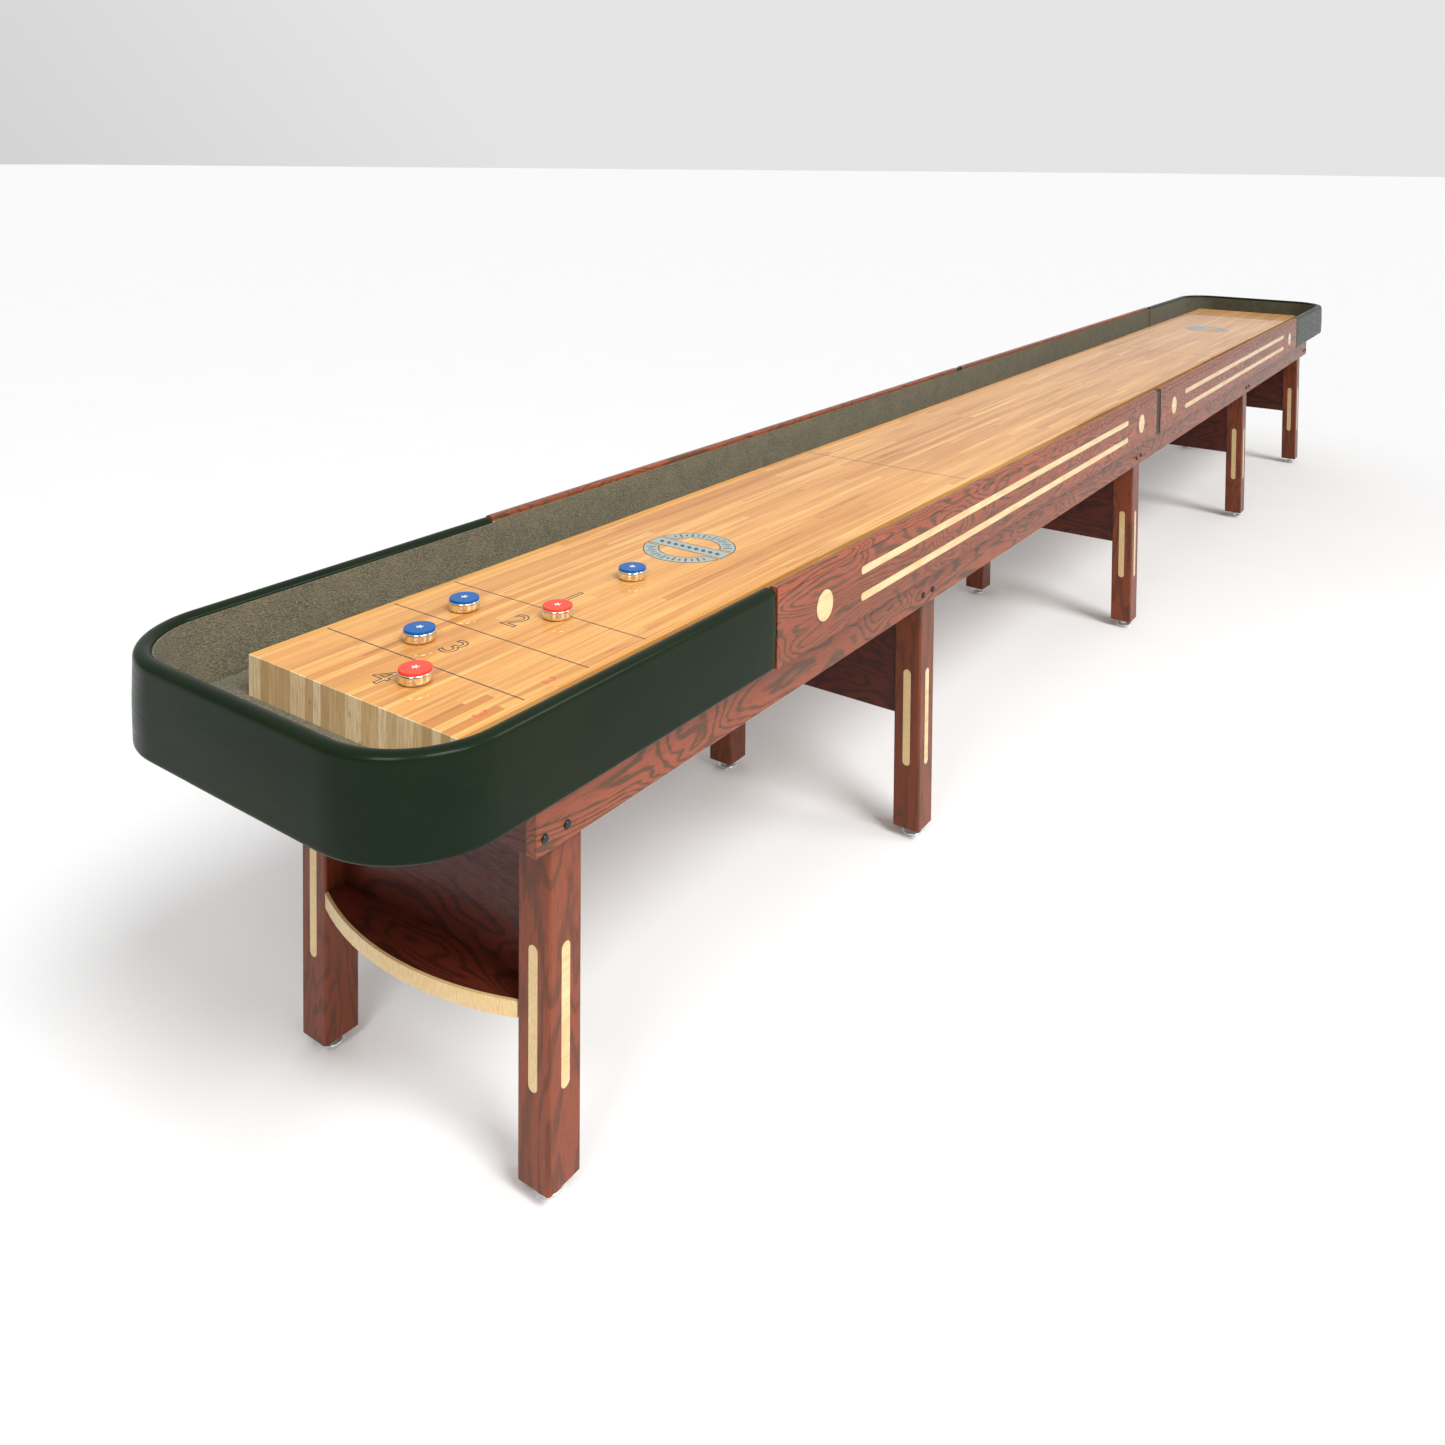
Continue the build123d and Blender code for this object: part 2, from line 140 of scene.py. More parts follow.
class Graph:
    """A material's node tree, with a short call for each kind of node that is used here."""

    def __init__(self, name):
        self.material = bpy.data.materials.new(name)
        self.material.use_nodes = True
        self.nodes = self.material.node_tree.nodes
        self.links = self.material.node_tree.links
        self.shader = self.nodes["Principled BSDF"]
        self.place = self.nodes.new("ShaderNodeTexCoord").outputs["Object"]

    def feed(self, socket, value):
        """Sets a socket's value, or links another node's output to it."""
        if isinstance(value, bpy.types.NodeSocket):
            self.links.new(value, socket)
        elif isinstance(value, tuple) and len(value) == 3 and socket.type == "RGBA":
            socket.default_value = (*value, 1.0)
        else:
            socket.default_value = value

    def finish(self, **sockets):
        """Feeds the shader's sockets, named with _ for a space, and returns the material."""
        for name, value in sockets.items():
            self.feed(self.shader.inputs[name.replace("_", " ")], value)
        return self.material

    def math(self, operation, *values):
        """The result of a math operation on one, two or three numbers."""
        node = self.nodes.new("ShaderNodeMath")
        node.operation = operation
        for socket, value in zip(node.inputs, values):
            self.feed(socket, value)
        return node.outputs[0]

    def stretched(self, vector, scale, shift=(0.0, 0.0, 0.0)):
        """The vector scaled along each axis, then shifted."""
        node = self.nodes.new("ShaderNodeMapping")
        self.feed(node.inputs["Vector"], vector)
        self.feed(node.inputs["Scale"], scale)
        self.feed(node.inputs["Location"], shift)
        return node.outputs[0]

    def parts(self, vector):
        """The three numbers of a vector."""
        node = self.nodes.new("ShaderNodeSeparateXYZ")
        self.feed(node.inputs[0], vector)
        return node.outputs

    def joined(self, x, y, z):
        """A vector from three numbers."""
        node = self.nodes.new("ShaderNodeCombineXYZ")
        for socket, value in zip(node.inputs, (x, y, z)):
            self.feed(socket, value)
        return node.outputs[0]

    def noise(self, vector, scale=1.0, detail=3.0, distortion=0.0):
        """Soft random values around 0.5."""
        node = self.nodes.new("ShaderNodeTexNoise")
        self.feed(node.inputs["Vector"], vector)
        self.feed(node.inputs["Scale"], scale)
        self.feed(node.inputs["Detail"], detail)
        self.feed(node.inputs["Distortion"], distortion)
        return node.outputs[0]

    def cells(self, vector, scale):
        """Distance to the middle of the nearest random cell."""
        node = self.nodes.new("ShaderNodeTexVoronoi")
        self.feed(node.inputs["Vector"], vector)
        self.feed(node.inputs["Scale"], scale)
        return node.outputs["Distance"]

    def chance(self, vector):
        """A random number for each distinct vector."""
        node = self.nodes.new("ShaderNodeTexWhiteNoise")
        self.feed(node.inputs["Vector"], vector)
        return node.outputs["Value"]

    def ramp(self, value, *stops):
        """Colours or greys along a value, each stop a (position, colour or grey)."""
        node = self.nodes.new("ShaderNodeValToRGB")
        self.feed(node.inputs[0], value)
        points = node.color_ramp.elements
        while len(points) < len(stops):
            points.new(1.0)
        for point, (position, colour) in zip(points, stops):
            point.position = position
            point.color = (*colour, 1.0) if isinstance(colour, tuple) else (colour,) * 3 + (1.0,)
        return node.outputs[0]

    def mix(self, share, a, b):
        """Colour a with the given share of colour b."""
        node = self.nodes.new("ShaderNodeMix")
        node.data_type = "RGBA"
        self.feed(node.inputs[0], share)
        self.feed(node.inputs[6], a)
        self.feed(node.inputs[7], b)
        return node.outputs[2]

    def bump(self, height, depth):
        """Surface relief of the given depth in metres."""
        node = self.nodes.new("ShaderNodeBump")
        self.feed(node.inputs["Height"], height)
        self.feed(node.inputs["Distance"], depth)
        return node.outputs[0]


def along(axis, lengthwise, crosswise):
    """A scale that is lengthwise along one axis and crosswise along the other two."""
    return tuple(lengthwise if a == axis else crosswise for a in "XYZ")


def oak(name, axis, light, dark, rings=165.0, strength=0.9, shift=0.0):
    """Stained oak with flame figure, open pores and a satin lacquer, its grain along one axis.

    rings sets how fine the figure is, strength how dark, and shift moves it along the wood.
    """
    g = Graph(name)
    place = g.stretched(g.place, (1.0, 1.0, 1.0), (shift, shift * 0.7, shift * 0.4))
    figure = g.noise(g.stretched(place, along(axis, 1.9, 8.5)), 1.0, 2.0, 0.5)
    ragged = g.noise(g.stretched(place, along(axis, 26.0, 210.0)), 1.0, 4.0)
    phase = g.math("ADD", g.math("MULTIPLY", figure, rings), g.math("MULTIPLY", ragged, 2.4))
    waves = g.math("MULTIPLY_ADD", g.math("SINE", phase), 0.5, 0.5)
    broken = g.math("ADD", waves, g.math("MULTIPLY", g.math("SUBTRACT", ragged, 0.5), 0.9))
    dark_share = g.ramp(broken, (0.56, 0.0), (0.94, strength))
    tone = g.noise(g.stretched(place, along(axis, 0.8, 5.0)), 1.0, 3.0)
    base = g.mix(g.ramp(tone, (0.35, 0.0), (0.65, 1.0)), light, tuple(c * 0.74 for c in light))
    pores = g.noise(g.stretched(place, along(axis, 34.0, 1500.0)), 1.0, 2.0)
    pore_share = g.ramp(pores, (0.56, 0.0), (0.66, 0.6))
    colour = g.mix(dark_share, base, dark)
    colour = g.mix(pore_share, colour, tuple(c * 0.4 for c in dark))
    relief = g.math("SUBTRACT", g.math("MULTIPLY", dark_share, -0.3), pore_share)
    rough = g.ramp(ragged, (0.3, 0.3), (0.7, 0.44))
    return g.finish(
        Base_Color=colour, Roughness=rough, Normal=g.bump(relief, 0.0002),
        Coat_Weight=0.12, Coat_Roughness=0.12, Specular_IOR_Level=0.22,
    )


def maple_board():
    """Laminated maple under thick clear lacquer: strips in random lengths, end grain at the ends."""
    strip_width, strip_length = 0.0205, 0.82
    g = Graph("maple_board")
    x, y, z = g.parts(g.place)

    # The strips: a random number for each, so that each has a tone and a grain of its own
    rows = g.math("DIVIDE", y, strip_width)
    row = g.math("FLOOR", rows)
    slide = g.math("MULTIPLY", g.chance(g.joined(row, 3.1, 0.0)), 9.0)
    columns = g.math("ADD", g.math("DIVIDE", x, strip_length), slide)
    column = g.math("FLOOR", columns)
    strip = g.chance(g.joined(row, column, 1.7))

    # Along the strips: tone, grain, darker streaks, pale clouds and the glue seams
    tone = g.ramp(
        strip, (0.0, (0.46, 0.185, 0.042)), (0.25, (0.57, 0.255, 0.062)),
        (0.6, (0.65, 0.315, 0.084)), (1.0, (0.73, 0.40, 0.128)),
    )
    own_x = g.math("ADD", x, g.math("MULTIPLY", strip, 7.0))
    inside = g.joined(own_x, g.math("ADD", y, strip), z)
    grain = g.noise(g.stretched(inside, (2.2, 95.0, 60.0)), 1.0, 4.0, 0.4)
    tone = g.mix(g.ramp(grain, (0.38, 0.75), (0.62, 0.0)), tone, (0.44, 0.19, 0.055))
    streak = g.noise(g.stretched(inside, (1.6, 34.0, 30.0), (4.0, 2.0, 1.0)), 1.0, 3.0, 0.6)
    tone = g.mix(g.ramp(streak, (0.57, 0.0), (0.72, 0.8)), tone, (0.30, 0.12, 0.036))
    cloud = g.noise(g.stretched(g.place, (1.1, 7.0, 1.0)), 1.0, 3.0)
    tone = g.mix(g.ramp(cloud, (0.4, 0.0), (0.7, 0.35)), tone, (0.78, 0.44, 0.15))
    across = g.math("FRACT", rows)
    seam = g.math("MULTIPLY", g.ramp(across, (0.0, 1.0), (0.035, 0.0)), 0.35)
    tone = g.mix(seam, tone, (0.25, 0.11, 0.04))

    # End grain: growth rings, a few small knots and the same seams
    end_tone = g.ramp(
        strip, (0.0, (0.52, 0.34, 0.16)), (0.5, (0.70, 0.50, 0.26)), (1.0, (0.82, 0.66, 0.42))
    )
    growth = g.noise(g.stretched(g.place, (1.0, 260.0, 26.0)), 1.0, 4.0, 0.5)
    end_tone = g.mix(g.ramp(growth, (0.40, 0.4), (0.56, 0.0)), end_tone, (0.42, 0.25, 0.11))
    knots = g.cells(g.stretched(g.place, (1.0, 24.0, 17.0)), 1.0)
    end_tone = g.mix(g.ramp(knots, (0.05, 0.6), (0.16, 0.0)), end_tone, (0.24, 0.12, 0.05))
    end_tone = g.mix(g.math("MULTIPLY", seam, 2.0), end_tone, (0.20, 0.10, 0.04))

    # Which of the two a face shows, from the way it faces
    facing = g.parts(g.nodes.new("ShaderNodeNewGeometry").outputs["Normal"])[0]
    is_end = g.math("GREATER_THAN", g.math("ABSOLUTE", facing), 0.6)
    rough = g.mix(is_end, (0.22,) * 3, (0.5,) * 3)
    return g.finish(
        Base_Color=g.mix(is_end, tone, end_tone), Roughness=rough,
        Coat_Weight=0.30, Coat_Roughness=0.025, Specular_IOR_Level=0.04,
    )


def pale_maple():
    """Maple inlay with fine straight grain along the table."""
    g = Graph("maple_inlay")
    fine = g.noise(g.stretched(g.place, (14.0, 420.0, 90.0)), 1.0, 4.0, 0.3)
    cloud = g.noise(g.place, 9.0, 3.0)
    pale, deep = (0.70, 0.52, 0.26), (0.57, 0.38, 0.155)
    colour = g.mix(g.ramp(fine, (0.35, 0.0), (0.7, 1.0)), pale, deep)
    colour = g.mix(g.ramp(cloud, (0.45, 0.0), (0.75, 0.5)), colour, (0.56, 0.35, 0.13))
    return g.finish(
        Base_Color=colour, Roughness=g.ramp(fine, (0.3, 0.28), (0.7, 0.4)),
        Normal=g.bump(fine, 0.00008), Coat_Weight=0.4, Coat_Roughness=0.12,
    )


def vinyl():
    """Dark green upholstery vinyl: pebbled grain, scuffed a little paler, with soft gloss."""
    g = Graph("vinyl")
    pebbles = g.cells(g.place, 620.0)
    cloud = g.noise(g.place, 5.0, 4.0)
    scuffs = g.noise(g.stretched(g.place, (18.0, 18.0, 60.0)), 1.0, 5.0, 0.8)
    deep, worn = (0.0045, 0.0110, 0.0050), (0.0085, 0.0150, 0.0050)
    colour = g.mix(g.ramp(cloud, (0.3, 0.0), (0.7, 1.0)), deep, worn)
    colour = g.mix(g.ramp(scuffs, (0.62, 0.0), (0.78, 0.3)), colour, (0.014, 0.021, 0.011))
    height = g.math("ADD", pebbles, g.math("MULTIPLY", cloud, 0.4))
    return g.finish(
        Base_Color=colour, Roughness=g.ramp(scuffs, (0.3, 0.24), (0.75, 0.38)),
        Normal=g.bump(height, 0.00007), Specular_IOR_Level=0.05,
        Coat_Weight=0.08, Coat_Roughness=0.14,
    )


def carpet():
    """Short looped carpet, olive grey with darker and paler loops."""
    g = Graph("carpet")
    loops = g.cells(g.place, 330.0)
    tufts = g.noise(g.place, 260.0, 3.0, 0.6)
    patches = g.noise(g.place, 16.0, 4.0)
    dark, pale = (0.075, 0.065, 0.036), (0.245, 0.215, 0.130)
    colour = g.mix(g.ramp(tufts, (0.36, 0.0), (0.64, 1.0)), dark, pale)
    colour = g.mix(g.ramp(loops, (0.1, 0.0), (0.55, 0.6)), colour, (0.07, 0.062, 0.035))
    colour = g.mix(g.ramp(patches, (0.4, 0.0), (0.7, 0.4)), colour, (0.19, 0.16, 0.085))
    height = g.math("SUBTRACT", tufts, loops)
    return g.finish(
        Base_Color=colour, Roughness=0.95, Normal=g.bump(height, 0.0018),
        Sheen_Weight=0.08, Sheen_Roughness=0.6,
    )


def plywood():
    """Raw plywood with a long flat grain."""
    g = Graph("bed_plywood")
    grain = g.noise(g.stretched(g.place, (2.0, 40.0, 300.0)), 1.0, 4.0, 0.5)
    colour = g.ramp(grain, (0.3, (0.30, 0.17, 0.08)), (0.7, (0.52, 0.34, 0.18)))
    return g.finish(Base_Color=colour, Roughness=0.7, Normal=g.bump(grain, 0.0003))


def metal(name, tint, rough_low, rough_high, relief):
    """Plated metal with faint smears and tool marks."""
    g = Graph(name)
    smears = g.noise(g.stretched(g.place, (120.0, 120.0, 40.0)), 1.0, 4.0, 0.7)
    marks = g.noise(g.stretched(g.place, (300.0, 300.0, 2600.0)), 1.0, 2.0)
    colour = g.mix(g.ramp(smears, (0.35, 0.0), (0.75, 0.5)), tint, tuple(c * 0.7 for c in tint))
    rough = g.ramp(smears, (0.3, rough_low), (0.75, rough_high))
    return g.finish(
        Base_Color=colour, Metallic=1.0, Roughness=rough, Normal=g.bump(marks, relief)
    )


def moulded(name, tint):
    """Glossy moulded cap with fine scratches and a faint mottle."""
    g = Graph(name)
    mottle = g.noise(g.place, 140.0, 3.0)
    scratches = g.noise(g.stretched(g.place, (900.0, 90.0, 300.0)), 1.0, 3.0, 1.2)
    colour = g.mix(g.ramp(mottle, (0.35, 0.0), (0.7, 0.5)), tint, tuple(c * 0.78 for c in tint))
    return g.finish(
        Base_Color=colour, Roughness=g.ramp(scratches, (0.35, 0.26), (0.7, 0.42)),
        Normal=g.bump(scratches, 0.00003), Specular_IOR_Level=0.15,
        Coat_Weight=0.1, Coat_Roughness=0.1,
    )


def ink(name, tint, worn):
    """Printed colour under the lacquer, worn thin in places."""
    g = Graph(name)
    patches = g.noise(g.place, 240.0, 4.0)
    colour = g.mix(g.ramp(patches, (0.5, 0.0), (0.72, 0.6)), tint, worn)
    return g.finish(Base_Color=colour, Roughness=0.4, Coat_Weight=0.3, Coat_Roughness=0.05)


OAK_LIGHT = (0.31, 0.072, 0.030)
OAK_DARK = (0.085, 0.038, 0.014)
SKIRT_LIGHT = (0.30, 0.072, 0.030)
# The legs take a darker copy of the side oak: the extra darkness is painted shade for the legs
# standing in shade under the table.
PAINTED_SHADE_LEG_PALE = (0.215, 0.048, 0.018)
PAINTED_SHADE_LEG_DEEP = (0.090, 0.028, 0.010)
# The end apron, cross rails and shelf take a much darker copy of the oak: painted shade for the dim
# near end and the shade under the table.
PAINTED_SHADE_CROSS_PALE = (0.105, 0.018, 0.008)
PAINTED_SHADE_CROSS_DEEP = (0.035, 0.009, 0.005)

OAK_SIDE = oak("oak_sides", "X", OAK_LIGHT, OAK_DARK)
OAK_SKIRT = oak("oak_skirts", "X", SKIRT_LIGHT, OAK_DARK, rings=120.0, shift=3.0)
# Legs: the oak in a darker copy, its darkness painted shade.
PAINTED_SHADE_OAK_LEGS = oak("painted_shade_oak_legs", "Z", PAINTED_SHADE_LEG_PALE, PAINTED_SHADE_LEG_DEEP, rings=60.0, strength=0.7)
# End apron, cross rails and shelf: a darker oak copy, its darkness painted shade.
PAINTED_SHADE_OAK_CROSS = oak("painted_shade_oak_cross", "Y", PAINTED_SHADE_CROSS_PALE, PAINTED_SHADE_CROSS_DEEP, rings=90.0, strength=0.8)
INLAY = pale_maple()
VINYL = vinyl()
PLYWOOD = plywood()
CHROME = metal("weight_chrome", (0.86, 0.86, 0.85), 0.05, 0.14, 0.00001)
PLATED = metal("leveler_steel", (0.86, 0.87, 0.85), 0.3, 0.5, 0.00004)
ZINC = metal("zinc_steel", (0.55, 0.55, 0.56), 0.3, 0.5, 0.00005)
BLACK_STEEL = metal("bolt_steel", (0.05, 0.06, 0.065), 0.3, 0.5, 0.00005)
CAP_RED = moulded("cap_red", (0.74, 0.060, 0.028))
CAP_BLUE = moulded("cap_blue", (0.003, 0.090, 0.31))
INK_BLACK = ink("ink_black", (0.022, 0.018, 0.010), (0.12, 0.07, 0.03))
INK_RED = ink("ink_red", (0.62, 0.055, 0.03), (0.66, 0.22, 0.09))
INK_GREY = ink("ink_grey", (0.27, 0.34, 0.33), (0.36, 0.38, 0.31))
CAP_PRINT = ink("cap_print", (0.80, 0.78, 0.76), (0.60, 0.58, 0.57))

FINISHES = (
    ("playing_board", maple_board()),
    ("gutter_bed", PLYWOOD),
    ("end_rail_core", PLYWOOD),
    ("carpet_lining", carpet()),
    ("side_spacers", VINYL),
    ("end_rail_pad", VINYL),
    ("side_panel", OAK_SIDE),
    ("skirt", OAK_SKIRT),
    ("side_inlays", INLAY),
    ("leg_inlays", INLAY),
    ("shelf_edgings", INLAY),
    ("end_apron", PAINTED_SHADE_OAK_CROSS),
    ("cross_", PAINTED_SHADE_OAK_CROSS),
    ("shelf_", PAINTED_SHADE_OAK_CROSS),
    ("leg_", PAINTED_SHADE_OAK_LEGS),
    ("leveler_inserts", ZINC),
    ("leveler_", PLATED),
    ("frame_bolts", BLACK_STEEL),
    ("board_adjusters", ZINC),
    ("weight_cap_red", CAP_RED),
    ("weight_cap_blue", CAP_BLUE),
    ("weight_", CHROME),
)


def finish_nodes():
    """Gives each CAD node the finish whose name its own name starts with."""
    for name, node in NODES.items():
        finish = next(found for start, found in FINISHES if name.startswith(start))
        for place in node.material_slots:
            place.material = finish


# --- Pieces ----------------------------------------------------------------------------------

def put(name, data):
    """A new object in the scene that holds a mesh, curve, camera or light."""
    thing = bpy.data.objects.new(name, data)
    bpy.context.scene.collection.objects.link(thing)
    return thing


def put_mesh(name, vertices, faces, material):
    """A mesh object in one material."""
    mesh = bpy.data.meshes.new(name)
    mesh.from_pydata(vertices, [], faces)
    mesh.validate()
    mesh.update()
    mesh.materials.append(material)
    return put(name, mesh)


def add_piece(name, vertices, faces, material, slot, body="table"):
    """A mesh piece that rides on a body."""
    piece = put_mesh(name, vertices, faces, material)
    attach(piece, body)
    return piece


def slab(outline, low, high):
    """Vertices and faces of a flat plate with the given outline, counter-clockwise in plan."""
    count = len(outline)
    vertices = [(x, y, low) for x, y in outline] + [(x, y, high) for x, y in outline]
    faces = [tuple(reversed(range(count))), tuple(range(count, 2 * count))]
    for i in range(count):
        j = (i + 1) % count
        faces.append((i, j, count + j, count + i))
    return vertices, faces


def merge(shapes):
    """One vertex and face list from several."""
    vertices, faces = [], []
    for shape_vertices, shape_faces in shapes:
        start = len(vertices)
        vertices += shape_vertices
        faces += [tuple(start + i for i in face) for face in shape_faces]
    return vertices, faces


def print_slab(outline, layer=1.0):
    """A printed shape: a skin on the board that stands a hair proud of it."""
    return slab(outline, BOARD_TOP - INK_THICK, BOARD_TOP + INK_THICK * layer)


def oblong(x, y, long, wide, turn=0.0):
    """The outline of a rectangle around (x, y), long along X before it is turned."""
    corners = ((-1, -1), (1, -1), (1, 1), (-1, 1))
    c, s = math.cos(turn), math.sin(turn)
    half = [(a * long / 2, b * wide / 2) for a, b in corners]
    return [(x + a * c - b * s, y + a * s + b * c) for a, b in half]


def board_lines():
    """Zone lines at each end of the board, and the two foul lines."""
    length = BOARD_HIGH.y - BOARD_LOW.y - 2 * LINE_MARGIN
    shapes = []
    for distance in (ZONE, 2 * ZONE, 3 * ZONE, FOUL_LINE_FROM_END):
        for x in (BOARD_LOW.x + distance, BOARD_HIGH.x - distance):
            shapes.append(print_slab(oblong(x, 0.0, LINE_WIDTH, length)))
    return add_piece("board_lines", *merge(shapes), INK_BLACK, "bolt_steel")


def numeral(text, x, y, size, turn, outlined):
    """Mesh of a numeral printed on the board, filled in or as an outline only."""
    curve = bpy.data.curves.new("numeral", "FONT")
    curve.body = text
    curve.size = size
    curve.align_x = "CENTER"
    curve.align_y = "CENTER"
    curve.resolution_u = 6
    if outlined:
        curve.fill_mode = "NONE"
        curve.bevel_depth = NUMERAL_STROKE
        curve.bevel_resolution = 1
    else:
        curve.extrude = INK_THICK
        curve.offset = size * EDGE_NUMERAL_SWELL
    source = put("numeral", curve)
    bpy.context.view_layer.update()
    evaluated = source.evaluated_get(bpy.context.evaluated_depsgraph_get())
    mesh = bpy.data.meshes.new_from_object(evaluated)
    flatten = INK_THICK / NUMERAL_STROKE if outlined else 1.0
    flat = Matrix.Diagonal((1.0, 1.0, flatten, 1.0))
    mesh.transform(Matrix.Translation((x, y, BOARD_TOP)) @ Matrix.Rotation(turn, 4, "Z") @ flat)
    vertices = [tuple(v.co) for v in mesh.vertices]
    faces = [tuple(p.vertices) for p in mesh.polygons]
    bpy.data.objects.remove(source)
    bpy.data.curves.remove(curve)
    bpy.data.meshes.remove(mesh)
    return vertices, faces


def board_numerals():
    """Scores in the zones at both ends, each end's read from that end."""
    scores, edge_scores = [], []
    edge_y = BOARD_HIGH.y - EDGE_NUMERAL_INSET
    for end, start in ((1, BOARD_LOW.x), (-1, BOARD_HIGH.x)):
        turn = -end * math.pi / 2
        for number in range(4):
            x = start + end * ZONE * (number + 0.5)
            scores.append(numeral(str(4 - number), x, 0.0, NUMERAL_SIZE, turn, True))
            if number < 3:
                edge = numeral(str(3 - number), x, -end * edge_y, EDGE_NUMERAL_SIZE, turn, False)
                edge_scores.append(edge)
    add_piece("board_scores", *merge(scores), INK_BLACK, "bolt_steel")
    add_piece("edge_scores", *merge(edge_scores), INK_RED, "cap_red")


def half_ring(x, outer, inner, gap, side):
    """The outline of half a ring, on the +X or -X side of a gap that runs across the table."""
    steps = 28
    reach_out = math.acos(gap / outer)
    reach_in = math.acos(gap / inner)
    out = [reach_out * (2 * i / steps - 1) for i in range(steps + 1)]
    back = [reach_in * (1 - 2 * i / steps) for i in range(steps + 1)]
    points = [(outer * math.cos(a), outer * math.sin(a)) for a in out]
    points += [(inner * math.cos(a), inner * math.sin(a)) for a in back]
    return [(x + side * px, side * py) for px, py in points]


def ring_emblem(number, x):
    """A split ring with a bar across it and tick marks round it, printed at one end."""
    dark, pale = [], []
    gap = RING_BAR / 2 + RING_GAP
    bar_length = 2 * math.sqrt(RING_OUTER**2 - (RING_BAR / 2) ** 2)
    for side in (-1, 1):
        edge = half_ring(x, RING_OUTER, RING_INNER, gap, side)
        fill = half_ring(
            x, RING_OUTER - RING_OUTLINE, RING_INNER + RING_OUTLINE, gap + RING_OUTLINE, side
        )
        dark.append(print_slab(edge))
        pale.append(print_slab(fill, FILL_LAYER))
    bar_fill = oblong(x, 0.0, RING_BAR - 2 * RING_OUTLINE, bar_length - 2 * RING_OUTLINE)
    dark.append(print_slab(oblong(x, 0.0, RING_BAR, bar_length)))
    pale.append(print_slab(bar_fill, FILL_LAYER))
    middle = (RING_OUTER + RING_INNER) / 2
    for i in range(TICK_COUNT):
        angle = 2 * math.pi * (i + 0.5) / TICK_COUNT
        if abs(middle * math.cos(angle)) < gap + TICK_CLEARANCE:
            continue
        length = TICK_LONG if i % 2 else TICK_SHORT
        place = (x + middle * math.cos(angle), middle * math.sin(angle))
        dark.append(print_slab(oblong(*place, length, TICK_WIDE, angle), MARK_LAYER))
    for i in range(-4, 5):
        diamond = oblong(x, i * DIAMOND_PITCH, DIAMOND_LONG, DIAMOND_WIDE, math.pi / 4)
        dark.append(print_slab(diamond, MARK_LAYER))
    add_piece(f"ring_outline_{number}", *merge(dark), INK_BLACK, "bolt_steel")
    add_piece(f"ring_fill_{number}", *merge(pale), INK_GREY, "adjuster_steel")


def cap_emblem(name):
    """A small pale pinwheel printed in the middle of a weight's cap."""
    low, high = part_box(f"weight_cap_{name}")
    middle, top = (low + high) / 2, high.z
    arms, long, wide = 5, 0.0062, 0.0022
    first_angle, arm_tilt, arm_reach = 0.5, 0.45, 0.62
    shapes = []
    for i in range(arms):
        angle = 2 * math.pi * i / arms + first_angle
        x = middle.x + math.cos(angle) * long * arm_reach
        y = middle.y + math.sin(angle) * long * arm_reach
        arm = oblong(x, y, long, wide, angle + arm_tilt)
        shapes.append(slab(arm, top - INK_THICK, top + INK_THICK))
    add_piece(f"cap_emblem_{name}", *merge(shapes), CAP_PRINT, "maple_inlay", f"weight_{name}")


def rail_path(end):
    """Points and outward normals round the outside of a padded end, from -Y to +Y."""
    side_y = PAD_HIGH.y
    reach = -end * PAD_HIGH.x
    tip = -end * PAD_LOW.x
    straight = abs(tip - reach) - CORNER_RADIUS
    corner_x = tip - end * CORNER_RADIUS
    corner_y = side_y - CORNER_RADIUS
    points = []
    steps = round(straight / PAD_STEP)
    for i in range(steps):
        points.append((reach + (corner_x - reach) * i / steps, -side_y, 0.0, -1.0))
    bends = round(CORNER_RADIUS * math.pi / 2 / PAD_STEP)
    for i in range(bends):
        a = math.pi / 2 * i / bends
        nx, ny = end * math.sin(a), -math.cos(a)
        points.append((corner_x + nx * CORNER_RADIUS, -corner_y + ny * CORNER_RADIUS, nx, ny))
    ends = round(corner_y / PAD_STEP)
    for i in range(ends + 1):
        points.append((tip, -corner_y + corner_y * i / ends, end, 0.0))
    mirrored = [(x, -y, nx, -ny) for x, y, nx, ny in reversed(points[:-1])]
    return points + mirrored


def pad_section():
    """The padded rail's section as (inset from the outer face, height).

    It runs out along the underside, up the face, over the top roll and back down inside.
    """
    low, high = PAD_LOW.z, PAD_HIGH.z
    edge_wide, edge_high, sag = 0.007, 0.0075, 0.0008
    face_low, face_high, face_rows = low + 0.018, high - 0.024, 12
    roll_wide, roll_high = RAIL_THICK / 2 + 0.001, 0.0125
    edge_steps, roll_steps = 4, 12

    section = [(RAIL_THICK - 0.001, low), (0.018, low + 0.0002), (0.009, low + 0.0006)]
    for i in range(edge_steps + 1):
        a = math.pi / 2 * i / edge_steps
        section.append((edge_wide * (1 - math.sin(a)), low + edge_high * (1 - math.cos(a)) + sag))
    for i in range(face_rows):
        share = i / (face_rows - 1)
        crown = PAD_CROWN * math.sin(math.pi * share)
        section.append((-crown, face_low + (face_high - face_low) * share))
    for i in range(roll_steps + 1):
        a = math.pi * i / roll_steps
        section.append((roll_wide * (1 - math.cos(a)), high - roll_high + roll_high * math.sin(a)))
    section += [(RAIL_THICK + 0.0012, high - 0.0155), (RAIL_THICK - 0.0005, high - 0.0105)]
    section += [(PAD_THICK + 0.004, high - PAD_THICK + 0.0002), (PAD_THICK, high - PAD_THICK)]
    section += [(PAD_THICK, (low + high) / 2), (PAD_THICK, low + 0.004)]
    return section


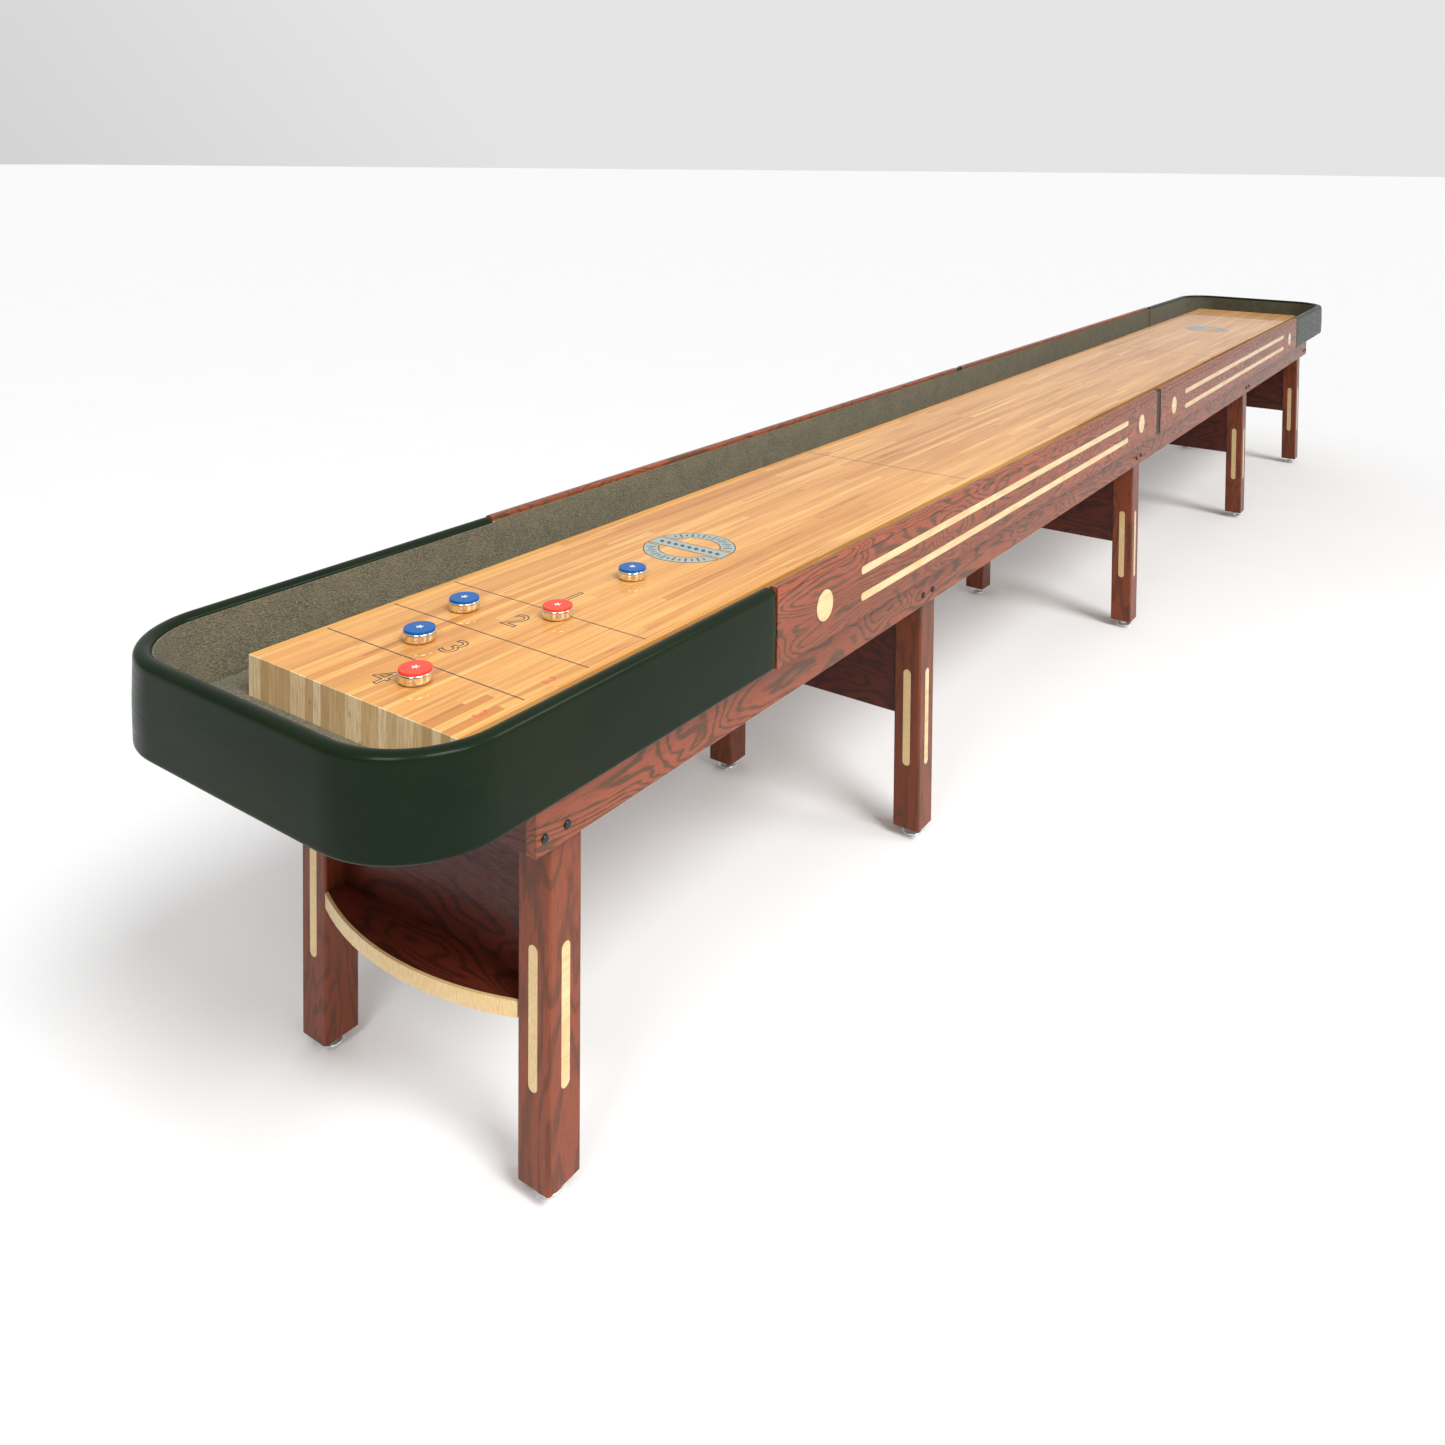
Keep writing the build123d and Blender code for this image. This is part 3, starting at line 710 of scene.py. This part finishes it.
def padded_end(name, end):
    """Foam under stretched vinyl, pulled in at its two ends and puckered round the corners."""
    path, section = rail_path(end), pad_section()
    vertices, faces = [], []
    count, rows = len(section), len(path)
    middle_z = (PAD_LOW.z + PAD_HIGH.z) / 2
    for i, (x, y, nx, ny) in enumerate(path):
        from_end = min(i, rows - 1 - i) * PAD_STEP
        pull = PULL_DEPTH * math.exp(-((from_end / PULL_REACH) ** 2))
        bend = 4 * (nx * ny) ** 2
        for inset, z in section:
            on_face = inset < PAD_THICK * 0.8
            if on_face:
                waves = noise.noise(Vector((x * 7, y * 7, z * 11))) * PAD_WRINKLE
                ripple = math.sin(math.atan2(ny, nx) * PUCKERS_PER_RADIAN)
                pucker = ripple * bend * PAD_WRINKLE * PUCKER_SHARE
                edge = abs(z - middle_z) / (PAD_HIGH.z - PAD_LOW.z) * 2
                inset = inset + waves + pucker * max(0.0, edge - PUCKER_START) + pull
            vertices.append((x - nx * inset, y - ny * inset, z))
    for i in range(rows - 1):
        for j in range(count):
            k = (j + 1) % count
            quad = (i * count + j, i * count + k, (i + 1) * count + k, (i + 1) * count + j)
            faces.append(quad if end > 0 else tuple(reversed(quad)))
    first, last = tuple(range(count)), tuple(range((rows - 1) * count, rows * count))
    faces += [tuple(reversed(first)), last] if end > 0 else [first, tuple(reversed(last))]
    piece = add_piece(f"padded_rail_{name}", vertices, faces, VINYL, "vinyl")
    for face in piece.data.polygons:
        face.use_smooth = len(face.vertices) == 4
    smooth = piece.modifiers.new("smooth", "SUBSURF")
    smooth.levels = smooth.render_levels = 1
    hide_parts(f"end_rail_pad_{name}")


# --- Camera, floor and light -----------------------------------------------------------------

def set_camera():
    """The view fitted to the photo, with its small roll and downward lens shift."""
    yaw, pitch, roll = (math.radians(a) for a in (CAMERA_YAW, CAMERA_PITCH, CAMERA_ROLL))
    forward = Vector(
        (math.cos(pitch) * math.cos(yaw), math.cos(pitch) * math.sin(yaw), -math.sin(pitch))
    )
    right = Vector((math.sin(yaw), -math.cos(yaw), 0.0))
    up = right.cross(forward)
    tilted_right = right * math.cos(roll) + up * math.sin(roll)
    tilted_up = up * math.cos(roll) - right * math.sin(roll)
    data = bpy.data.cameras.new("camera")
    data.lens = CAMERA_LENS
    data.sensor_width = CAMERA_SENSOR
    data.shift_y = -CAMERA_SHIFT_DOWN
    data.clip_end = CAMERA_REACH
    camera = put("camera", data)
    turn = Matrix((tilted_right, tilted_up, -forward)).transposed().to_4x4()
    camera.matrix_world = Matrix.Translation(CAMERA_AT) @ turn
    bpy.context.scene.camera = camera


def add_floor():
    """A pale matt floor, far wider than the view."""
    g = Graph("floor")
    speck = g.noise(g.place, 3.0, 4.0)
    material = g.finish(
        Base_Color=g.ramp(speck, (0.3, 0.795), (0.7, 0.805)), Roughness=0.9, Specular_IOR_Level=0.1
    )
    vertices, faces = slab(oblong(0.0, 0.0, FLOOR_SIZE, FLOOR_SIZE), -FLOOR_THICK, 0.0)
    floor = put_mesh("floor", vertices, faces, material)


def area_light(name, at, target, side, power):
    """A square light that faces a target."""
    data = bpy.data.lights.new(name, "AREA")
    data.size = side
    data.energy = power
    light = put(name, data)
    light.location = at
    light.rotation_euler = (target - at).to_track_quat("-Z", "Y").to_euler()


def add_room():
    """A plain room, bright overhead and beyond the far end, and dim behind the near end."""
    world = bpy.data.worlds.new("room")
    world.use_nodes = True
    nodes, links = world.node_tree.nodes, world.node_tree.links
    background = nodes["Background"]
    toward = nodes.new("ShaderNodeTexCoord").outputs["Generated"]
    lean = nodes.new("ShaderNodeVectorMath")
    lean.operation = "DOT_PRODUCT"
    lean.inputs[1].default_value = ROOM_BRIGHT_WAY
    links.new(toward, lean.inputs[0])
    ramp = nodes.new("ShaderNodeMapRange")
    ramp.inputs["From Min"].default_value, ramp.inputs["From Max"].default_value = ROOM_FADE
    ramp.inputs["To Min"].default_value = ROOM_DIM
    ramp.inputs["To Max"].default_value = ROOM_BRIGHT
    links.new(lean.outputs["Value"], ramp.inputs["Value"])
    links.new(ramp.outputs["Result"], background.inputs["Strength"])
    background.inputs["Color"].default_value = (1.0, 1.0, 1.0, 1.0)
    bpy.context.scene.world = world
    bpy.context.scene.view_settings.view_transform = "Standard"


def add_light():
    """A broad soft key from above the right side, and three boxes that sparkle on the chrome."""
    key = bpy.data.lights.new("key", "SUN")
    key.energy = KEY_STRENGTH
    key.angle = math.radians(KEY_ANGLE)
    put("key", key).rotation_euler = KEY_FROM.to_track_quat("Z", "Y").to_euler()
    for name, at, side, power in BOXES:
        area_light(name, at, BOXES_AIM_AT, side, power)


# --- Scene -----------------------------------------------------------------------------------

finish_nodes()
padded_end("near", -1)
padded_end("far", 1)
board_lines()
board_numerals()
ring_emblem(1, BOARD_LOW.x + RING_FROM_END)
ring_emblem(2, BOARD_HIGH.x - RING_FROM_END)
for body_name in frame["bodies"]:
    if body_name.startswith("weight_"):
        cap_emblem(body_name.removeprefix("weight_"))
set_camera()
add_floor()
add_room()
add_light()
